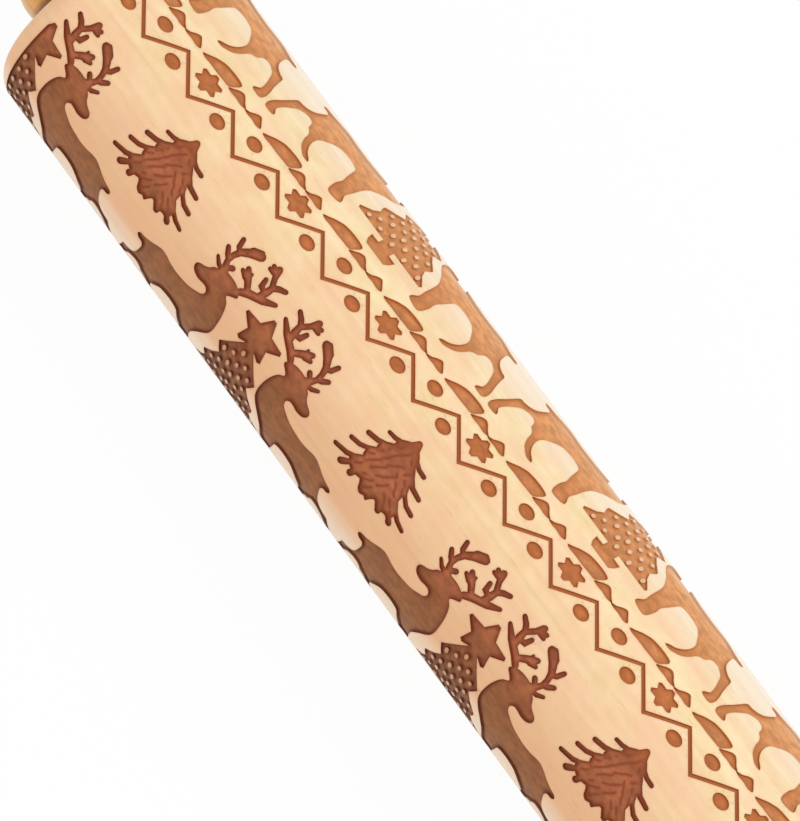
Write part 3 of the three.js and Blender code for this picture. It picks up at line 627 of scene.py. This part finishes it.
def drawEngraving():
    step = sheet["outlineStep"]
    pitch, shift = sheet["rowPitch"], sheet["pairShift"]
    treeCuts, treeLace = treeLoops()
    deerPair = deerLoops()
    smallFir, strokes = firLoops()
    treePlace = shift + sheet["treeShift"]
    for height in (0.0, sheet["rowSpacing"]):
        stamp("deer_pair", deerPair, pitch, shift, height)
        stamp("big_tree", treeCuts, pitch, treePlace, height, islands=treeLace)
        stamp("small_fir", smallFir, pitch, treePlace + fir["shift"] + pitch / 2, height + fir["base"],
              strokes=strokes)

    # where the two rows back on to each other
    b = bigTree
    crown = star(0, 0, b["starAlong"], b["starRound"], 5, b["starInner"], b["starBlunt"])
    stamp("back_fir", smallFir, pitch / 2, sheet["backFirShift"], sheet["backFirBase"], strokes=strokes)
    stamp("back_star", [crown], pitch / 2, sheet["backFirShift"] + pitch / 4, sheet["backStarHeight"])

    z, sides = zigzag, sheet["dotSides"]
    lowDot = ellipse(z["pitch"] / 2, z["lowerDot"], z["dotAlong"], z["dotRound"], sides)
    highDot = ellipse(z["upperDotShift"], z["upperDot"], z["dotAlong"], z["dotRound"], sides)
    sixStar = star(0, z["upperDot"], z["starAlong"], z["starRound"], 6, z["starInner"], z["starBlunt"])
    chain = [smoothLoop([(x, garland["base"] + y) for x, y in garland[part][::-1]], step)
             for part in ("leaf", "bud", "bead")]
    for height in (0.0, -sheet["rowSpacing"], sheet["rowSpacing"]):
        stamp("zigzag", [cornerLoop(zigzagLoop(), step)], z["pitch"], z["shift"], height)
        stamp("lower_dot", [lowDot], z["pitch"], z["shift"], height)
        stamp("upper_dot", [highDot], 2 * z["pitch"], z["shift"] + z["pitch"], height)
        stamp("six_star", [sixStar], 2 * z["pitch"], z["shift"], height)
        stamp("garland", chain, garland["pitch"], garland["shift"], height)
    print("engraving drawn:", len(cutLoops), "cuts and", len(islandLoops), "islands")


def endDrop(x):
    # how far the skin lies below the barrel's full radius at its rounded ends
    rounding = sheet["endRound"]
    past = max(0.0, abs(x) - (sheet["halfLength"] - rounding))
    return rounding - math.sqrt(max(0.0, rounding ** 2 - past ** 2))


def flatSleeve():
    # the barrel's skin laid flat, cut into by the engraving, with its ends and bore folded under it
    half, rounding = sheet["halfLength"], sheet["endRound"]
    straight = half - rounding
    steps = math.ceil(2 * straight / sheet["columnGap"])
    columns = [-straight + 2 * straight * i / steps for i in range(steps + 1)]
    for k in range(1, sheet["endSteps"] + 1):
        past = straight + rounding * math.sin(math.pi / 2 * k / sheet["endSteps"])
        columns += [past, -past]
    facets, seam = sheet["facets"], sheet["seam"]
    rows = [seam + roundLength * k / facets for k in range(facets + 1)]

    points, edges = closedEdges(cutLoops + islandLoops)
    distance = nearest(cutLoops + islandLoops)
    for x in sorted(columns):
        for k, y in enumerate(rows):
            rounded = abs(x) > straight + sheet["endStrip"]
            if k in (0, facets) or rounded or distance(x, y) > sheet["clearance"]:
                points.append((x, y))
    points += [tuple(p) for spots in floorSpots for p in spots]
    flat = delaunay_2d_cdt([Vector(p) for p in points], edges, [], 0, 1e-4, False)
    skin = np.array([tuple(v) for v in flat[0]])
    faces = np.array(flat[2])
    area = np.cross(skin[faces[:, 1]] - skin[faces[:, 0]], skin[faces[:, 2]] - skin[faces[:, 0]])
    kept = np.abs(area) > sheet["sliver"]
    faces, area = faces[kept], area[kept]
    faces[area < 0] = faces[area < 0][:, ::-1]
    middles = skin[faces].mean(1)

    def covered(loops):
        inside = np.zeros(len(faces), bool)
        for loop in loops:
            low, high = loop.min(0), loop.max(0)
            near = np.flatnonzero(((middles > low) & (middles < high)).all(1))
            inside[near[within(middles[near], loop)]] = True
        return inside

    onIsland = covered(islandLoops)
    sunk = covered(cutLoops) & ~onIsland
    print("skin cut:", len(skin), "points,", int(sunk.sum()), "faces on the floor")

    height = [-endDrop(x) for x, y in skin]
    verts = [(x, y, z) for (x, y), z in zip(skin, height)]
    floorOf = {}
    for i in np.unique(faces[sunk]):
        floorOf[i] = len(verts)
        verts.append((skin[i][0], skin[i][1], height[i] - sheet["depth"]))
    owner = {}
    for face, low in zip(faces.tolist(), sunk.tolist()):
        for a, b in zip(face, face[1:] + face[:1]):
            owner[(a, b)] = low

    # how near each point is to a wall or to a scorched stroke
    lips = np.array([(a, b) for (a, b), low in owner.items() if low and not owner.get((b, a), True)])
    first, second = skin[lips[:, 0]], skin[lips[:, 1]]
    toWall = nearest([first + (second - first) * t for t in (0, 1 / 3, 2 / 3)])
    toStroke = nearest([line[:-1] + (line[1:] - line[:-1]) * t for line in strokeLines
                        for t in (0, 0.25, 0.5, 0.75, 1)])
    wallGap = [toWall(x, y) for x, y in skin]
    stroke = [sheet["strokeScorch"] * (1 - toStroke(x, y) / sheet["strokeWidth"]) for x, y in skin]
    # floors darken towards their walls, partly char and partly painted shade in the recess, and along the
    # scorched strokes
    edge = [max(0.0, 1 - gap / sheet["edgeWidth"], dark) for gap, dark in zip(wallGap, stroke)]
    haloReach = sheet["haloWidth"] * sheet["rimWidth"]
    halo = [sheet["haloScorch"] * max(0.0, 1 - gap / haloReach) for gap in wallGap]
    made, marks = [], []
    for face, low, island in zip(faces.tolist(), sunk.tolist(), onIsland.tolist()):
        if not low:
            made.append(face)
            marks += [(max(halo[i], sheet["laceScorch"] if island else 0), halo[i] > 0, 0) for i in face]
            continue
        made.append([floorOf[i] for i in face])
        marks += [(1, edge[i], 0) for i in face]
        # walls take the wall colour in full, partly char and partly painted shade
        for a, b in zip(face, face[1:] + face[:1]):
            if not owner.get((b, a), True):
                made.append([floorOf[b], floorOf[a], a, b])
                marks += [(1, 1, 0)] * 4

    # ends, bearing seats and bore
    border = {}
    for i, (x, y) in enumerate(skin):
        if abs(abs(x) - half) < 1e-3:
            border.setdefault(x > 0, []).append((y, i))
    rims = {end: [i for y, i in sorted(found)] for end, found in border.items()}
    seat, back = sheet["seatRadius"], sheet["seatBack"]
    folds = [(half, seat), (back, seat), (back, sheet["boreRadius"])]
    lines = {True: [rims[True]], False: [rims[False]]}
    for end in (True, False):
        for x, radius in folds:
            lines[end].append(list(range(len(verts), len(verts) + len(rims[end]))))
            verts += [(x if end else -x, skin[i][1], radius - sheet["radius"]) for i in rims[end]]
    loop = lines[True] + lines[False][::-1]
    for k, (one, two) in enumerate(zip(loop, loop[1:])):
        for i in range(len(one) - 1):
            made.append([one[i], two[i], two[i + 1], one[i + 1]])
            marks += [(0, 0, 1 if k in (0, len(loop) - 2) else 0)] * 4

    mesh = bpy.data.meshes.new("flat_sleeve")
    mesh.from_pydata([(x * mm, y * mm, z * mm) for x, y, z in verts], [], made)
    burn = mesh.attributes.new("burn", "FLOAT_COLOR", "CORNER")
    burn.data.foreach_set("color", np.array([m + (1.0,) for m in marks], np.float32).ravel())
    return mesh


def wrapTree():
    # bends the flat skin round the axis and joins its two long edges
    tree, given = startTree("wrap_round_barrel", [
        ("Float", "Barrel Radius"), ("Float", "Start Turn"), ("Float", "Axis Height"), ("Float", "Seam Weld"),
        ("Material", "Finish")])
    flat = addNode(tree, "GeometryNodeInputPosition")
    along, around, up = addNode(tree, "ShaderNodeSeparateXYZ", {"Vector": flat}, out=None)
    steps = dict(around=around, up=up, barrel=given["Barrel Radius"], start=given["Start Turn"],
                 axis=given["Axis Height"])
    for name, one, two, how in (
            ("arc", "around", "barrel", "DIVIDE"), ("turn", "arc", "start", "ADD"),
            ("radius", "barrel", "up", "ADD"), ("sine", "turn", None, "SINE"),
            ("cosine", "turn", None, "COSINE"), ("across", "radius", "sine", "MULTIPLY"),
            ("rise", "radius", "cosine", "MULTIPLY"), ("height", "rise", "axis", "ADD")):
        terms = {k: steps[term] for k, term in enumerate((one, two)) if term}
        steps[name] = addNode(tree, "ShaderNodeMath", terms, operation=how)
    target = addNode(tree, "ShaderNodeCombineXYZ", {
        "X": along, "Y": steps["across"], "Z": steps["height"]})
    moved = addNode(tree, "GeometryNodeSetPosition", {
        "Geometry": given["Geometry"], "Position": target})
    welded = addNode(tree, "GeometryNodeMergeByDistance", {
        "Geometry": moved, "Distance": given["Seam Weld"]})
    return endTree(tree, welded, given["Finish"])


drawEngraving()
barrelMesh = runTree(flatSleeve(), wrapTree(), {
    "Barrel Radius": sheet["radius"] * mm, "Start Turn": math.radians(sheet["hoofTurn"]),
    "Axis Height": axisHeight * mm, "Seam Weld": sheet["seamWeld"] * mm, "Finish": barrelWood})
place("engraved_barrel", barrelMesh, barrelWood, "barrel", ["barrel"], 34)
print("barrel wrapped:", len(barrelMesh.polygons), "faces")


def turnedMesh(name, profile, end=1, sides=96):
    # revolves a closed profile of (along, radius) pairs round the pin's axis; end -1 is the left end
    verts, rings, faces = [], [], []
    for along, radius in profile:
        count = sides if radius else 1  # one point is enough on the axis
        rings.append([len(verts) + k % count for k in range(sides)])
        for k in range(count):
            turn = 2 * math.pi * k / sides
            up = axisHeight + radius * math.cos(turn)
            verts.append((end * along * mm, end * radius * math.sin(turn) * mm, up * mm))
    solid = profile[0][1] == 0
    for one, two in list(zip(rings, rings[1:])) + ([] if solid else [(rings[-1], rings[0])]):
        for k in range(sides):
            j = (k + 1) % sides
            face = list(dict.fromkeys((one[k], one[j], two[j], two[k])))
            if len(face) > 2:
                faces.append(face)
    mesh = bpy.data.meshes.new(name)
    mesh.from_pydata(verts, [], faces)
    shape = bmesh.new()
    shape.from_mesh(mesh)
    bmesh.ops.recalc_face_normals(shape, faces=shape.faces)
    shape.to_mesh(mesh)
    shape.free()
    return mesh


handle = dict(face=126.5, tip=215.0, collarRadius=12.6, collarFace=9.6, collarLength=11.0, collarSteps=24,
              neck=9.2, shoulder=(26.0, 11.85), middle=(50.0, 14.5), tail=(76.0, 11.8), tipSteps=10,
              insertSeat=6.8, insertFloor=148.8, axleSeat=4.3, boreEnd=163.5)
bearing = dict(face=124.0, back=117.0, middle=120.5, pitchRadius=7.5, ballRadius=1.98, ballCount=7,
               groove=2.23, grooveSteps=16, innerBore=4.3, innerLand=6.0, innerEdge=0.2, outerLand=9.1,
               outer=11.0, outerEdge=0.3, rebateRadius=9.5, rebateFloor=123.3)
shield = dict(inner=6.4, outer=9.2, thickness=0.4, edge=0.1, lip=[(-0.12, 0), (-0.02, 0.35), (0, 0.8)],
              backLip=0.3)
axle = dict(radius=5.0, seat=4.0, shoulder=116.7, edge=0.3, end=160.5, chamfer=0.8, threadStart=133.0,
            threadPitch=1.25, threadDepth=0.45)
insert = dict(start=126.5, end=148.5, bore=4.3, radius=6.5, root=5.9, rim=0.7, ridgeStart=0.8, pitch=2.0,
              ridge=[(0, 0), (0.35, 0), (0.5, 1), (0.65, 1), (0.8, 0)])
washer = dict(start=124.3, end=126.2, bore=4.3, radius=6.0, edge=0.15)


def handleProfile():
    h = handle
    bead = []
    for i in range(h["collarSteps"] + 1):
        turn = math.pi * i / h["collarSteps"]
        share = (1 - math.cos(turn)) / 2
        foot = h["collarFace"] + (h["neck"] - h["collarFace"]) * share
        bead.append((h["face"] + h["collarLength"] * share,
                     foot + (h["collarRadius"] - h["collarFace"]) * math.sin(turn)))
    # the grip is a smooth line through four knots
    knots = np.array([(h["collarLength"], h["neck"]), h["shoulder"], h["middle"], h["tail"]])
    line = [2 * knots[0] - knots[1], *knots, 2 * knots[-1] - knots[-2]]
    grip = []
    for p0, p1, p2, p3 in zip(line, line[1:], line[2:], line[3:]):
        for t in np.arange(0, 1, 0.1):
            point = 0.5 * (2 * p1 + (p2 - p0) * t + (2 * p0 - 5 * p1 + 4 * p2 - p3) * t**2
                           + (3 * p1 - p0 - 3 * p2 + p3) * t**3)
            grip.append((h["face"] + point[0], point[1]))
    start, radius = h["face"] + h["tail"][0], h["tail"][1]
    turns = [math.pi / 2 * k / h["tipSteps"] for k in range(h["tipSteps"])]
    tip = [(start + (h["tip"] - start) * math.sin(turn), radius * math.cos(turn)) for turn in turns]
    hollow = [(h["boreEnd"], 0), (h["boreEnd"], h["axleSeat"]), (h["insertFloor"], h["axleSeat"]),
              (h["insertFloor"], h["insertSeat"]), (h["face"], h["insertSeat"])]
    return hollow + bead + grip[1:] + tip + [(h["tip"], 0)]


def axleProfile():
    a = axle
    thread = []
    x = a["threadStart"]
    while x < a["end"] - a["chamfer"] - a["threadPitch"]:
        thread += [(x, a["seat"]), (x + a["threadPitch"] / 2, a["seat"] - a["threadDepth"])]
        x += a["threadPitch"]
    half = [(a["shoulder"] - a["edge"], a["radius"]), (a["shoulder"], a["radius"] - a["edge"]),
            (a["shoulder"], a["seat"])] + thread + [
        (a["end"] - a["chamfer"], a["seat"]), (a["end"], a["seat"] - a["chamfer"]), (a["end"], 0)]
    return [(-x, r) for x, r in reversed(half)] + half


def raceProfiles():
    b = bearing
    groove = []
    for land in (b["innerLand"], b["outerLand"]):
        edge = math.asin(abs(land - b["pitchRadius"]) / b["groove"])
        way = math.copysign(1, land - b["pitchRadius"])
        groove.append([])
        for i in range(b["grooveSteps"] + 1):
            turn = way * (edge + (math.pi - 2 * edge) * i / b["grooveSteps"])
            groove[-1].append((b["middle"] + b["groove"] * math.cos(turn),
                               b["pitchRadius"] + b["groove"] * math.sin(turn)))
    face, back, land, small = b["face"], b["back"], b["innerLand"], b["innerEdge"]
    inner = [(face, b["innerBore"]), (face, land - small), (face - small, land)] + groove[0] + [
        (back + small, land), (back, land - small), (back, b["innerBore"])]
    rim, large, step = b["outer"], b["outerEdge"], b["rebateFloor"]
    outer = [(face - large, rim), (face, rim - large), (face, b["rebateRadius"]), (step, b["rebateRadius"]),
             (step, b["outerLand"])] + groove[1] + [
        (back, b["outerLand"]), (back, rim - large), (back + large, rim)]
    return inner, outer


def shieldProfile():
    # pressed from sheet, with its inner lip curled in a little
    s = shield
    top, low = bearing["face"], bearing["face"] - s["thickness"]
    return [(top + along, s["inner"] + out) for along, out in s["lip"]] + [
        (top, s["outer"] - s["edge"]), (top - s["edge"], s["outer"]), (low, s["outer"]),
        (low, s["inner"] + s["backLip"]), (low, s["inner"])]


def insertProfile():
    i = insert
    ridge = []
    x = i["start"] + i["ridgeStart"]
    while x < i["end"] - i["pitch"]:
        ridge += [(x + i["pitch"] * along, i["radius"] if high else i["root"]) for along, high in i["ridge"]]
        x += i["pitch"]
    rim = [(i["start"], i["bore"]), (i["start"], i["radius"]), (i["start"] + i["rim"], i["radius"])]
    return rim + ridge + [(i["end"], i["root"]), (i["end"], i["bore"])]


def washerProfile():
    w, edge = washer, washer["edge"]
    upward = [(w["bore"], edge), (w["bore"] + edge, 0), (w["radius"] - edge, 0), (w["radius"], edge)]
    return [(w["start"] + inward, radius) for radius, inward in upward] + [
        (w["end"] - inward, radius) for radius, inward in reversed(upward)]


def ballTree():
    tree, given = startTree("balls_round_axle", [
        ("Int", "Ball Count"), ("Float", "Pitch Radius"), ("Float", "Ball Radius"), ("Vector", "Middle"),
        ("Material", "Finish")])
    circle = addNode(tree, "GeometryNodeMeshCircle", {
        "Vertices": given["Ball Count"], "Radius": given["Pitch Radius"]})
    ball = addNode(tree, "GeometryNodeMeshUVSphere", {
        "Segments": 32, "Rings": 16, "Radius": given["Ball Radius"]})
    ring = addNode(tree, "GeometryNodeInstanceOnPoints", {"Points": circle, "Instance": ball})
    upright = addNode(tree, "GeometryNodeTransform", {
        "Geometry": ring, "Translation": given["Middle"], "Rotation": (0, -math.pi / 2, 0)})
    return endTree(tree, upright, given["Finish"])


ballsRoundAxle = ballTree()
innerRace, outerRace = raceProfiles()
place("turned_axle", turnedMesh("turned_axle", axleProfile()), axleSteel, "spindle", ["axle_rod"])
for side, end in (("right", 1), ("left", -1)):
    # the name of the piece and its profile, then finish, body, node, slot and sides
    for name, profile, finish, body, node, slot, sides in (
            ("turned_handle", handleProfile(), handleWood, "spindle", "handle", "varnished_beech", 128),
            ("ground_inner_race", innerRace, raceSteel, "spindle", "inner_race", "bearing_steel", 96),
            ("ground_outer_race", outerRace, raceSteel, "barrel", "outer_race", "bearing_steel", 96),
            ("pressed_shield", shieldProfile(), shieldSteel, "barrel", "bearing_shield", "shield_steel", 96),
            ("nylon_washer", washerProfile(), cageNylon, "spindle", "spacer_washer", "nylon", 96),
            ("brass_insert", insertProfile(), insertBrass, "spindle", "threaded_insert", "brass", 96)):
        name = side + "_" + name
        place(name, turnedMesh(name, profile, end, sides), finish, body, [side + "_" + node])
    seed = bpy.data.meshes.new("ball_seed")
    balls = runTree(seed, ballsRoundAxle, {
        "Ball Count": bearing["ballCount"], "Pitch Radius": bearing["pitchRadius"] * mm,
        "Ball Radius": bearing["ballRadius"] * mm,
        "Middle": (end * bearing["middle"] * mm, 0.0, axisHeight * mm), "Finish": raceSteel})
    place(side + "_ball_set", balls, raceSteel, side + "_cage",
          [f"{side}_ball_{n}" for n in range(1, bearing["ballCount"] + 1)])
    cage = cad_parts[side + "_ball_cage"]
    cage.data.materials.clear()
    cage.data.materials.append(cageNylon)
print("turned pieces and bearings made")


camera = dict(azimuth=54.553, elevation=74.346, distance=1.497, lens=333.3,
              target=(-0.02073, 0.00024, 0.025))
studio = dict(worldLight=0.74, key=11.0, keyAt=(0.5, 1.0, 1.2), keySize=0.9, fill=6.0,
              fillAt=(-0.3, -0.9, 1.1), fillSize=1.1, floorColour="#F4F4F4", floorGlow=0.95, floorHalf=6)


def aim(thing, at, way):
    thing.location = at
    thing.rotation_mode = "QUATERNION"
    thing.rotation_quaternion = way.to_track_quat("-Z", "Y")


def addCamera():
    turn, rise = math.radians(camera["azimuth"]), math.radians(camera["elevation"])
    back = Vector((math.sin(turn) * math.cos(rise), -math.cos(turn) * math.cos(rise), math.sin(rise)))
    lens = bpy.data.cameras.new("photo_camera")
    lens.lens = camera["lens"]
    lens.sensor_width = 36
    lens.clip_start, lens.clip_end = 0.01, 50
    eye = addObject("photo_camera", lens)
    aim(eye, Vector(camera["target"]) + back * camera["distance"], -back)
    bpy.context.scene.camera = eye


def addLamp(name, power, at, size):
    lamp = bpy.data.lights.new(name, "AREA")
    lamp.shape = "SQUARE"
    lamp.size = size
    lamp.energy = power
    aim(addObject(name, lamp), at, Vector((0, 0, axisHeight * mm)) - Vector(at))


def seenDirectly(tree):
    # 1 for the camera, and for what metal mirrors or glass shows
    path = addNode(tree, "ShaderNodeLightPath", out=None)
    seen = path["Is Camera Ray"]
    for kind in ("Is Glossy Ray", "Is Transmission Ray"):
        seen = addNode(tree, "ShaderNodeMath", {0: seen, 1: path[kind]}, operation="MAXIMUM")
    return seen


def addFloor():
    mesh = bpy.data.meshes.new("studio_floor")
    corners = [(-1, -1), (1, -1), (1, 1), (-1, 1)]
    mesh.from_pydata([(x * studio["floorHalf"], y * studio["floorHalf"], 0) for x, y in corners], [],
                     [(0, 1, 2, 3)])
    material, tree = startMaterial("studio_paper")
    paper = addNode(tree, "ShaderNodeBsdfDiffuse", {"Color": paint(studio["floorColour"])})
    glow = addNode(tree, "ShaderNodeEmission", {"Strength": 1.0})
    share = addNode(tree, "ShaderNodeMath", {0: seenDirectly(tree), 1: studio["floorGlow"]},
                    operation="MULTIPLY")
    both = addNode(tree, "ShaderNodeMixShader", {0: share, 1: paper, 2: glow})
    addNode(tree, "ShaderNodeOutputMaterial", {"Surface": both})
    mesh.materials.append(material)
    addObject("studio_floor", mesh)


def addWorld():
    world = bpy.data.worlds.new("studio_air")
    bpy.context.scene.world = world
    world.use_nodes = True
    world.node_tree.nodes.clear()
    air = world.node_tree
    light = addNode(air, "ShaderNodeBackground", {"Strength": studio["worldLight"]})
    backdrop = addNode(air, "ShaderNodeBackground", {"Color": (1, 1, 1, 1), "Strength": 1.0})
    both = addNode(air, "ShaderNodeMixShader", {0: seenDirectly(air), 1: light, 2: backdrop})
    addNode(air, "ShaderNodeOutputWorld", {"Surface": both})


addCamera()
addFloor()
addWorld()
for name in ("key", "fill"):
    addLamp(name + "_softbox", studio[name], studio[name + "At"], studio[name + "Size"])
bpy.context.scene.view_settings.view_transform = "Standard"
print("studio set")
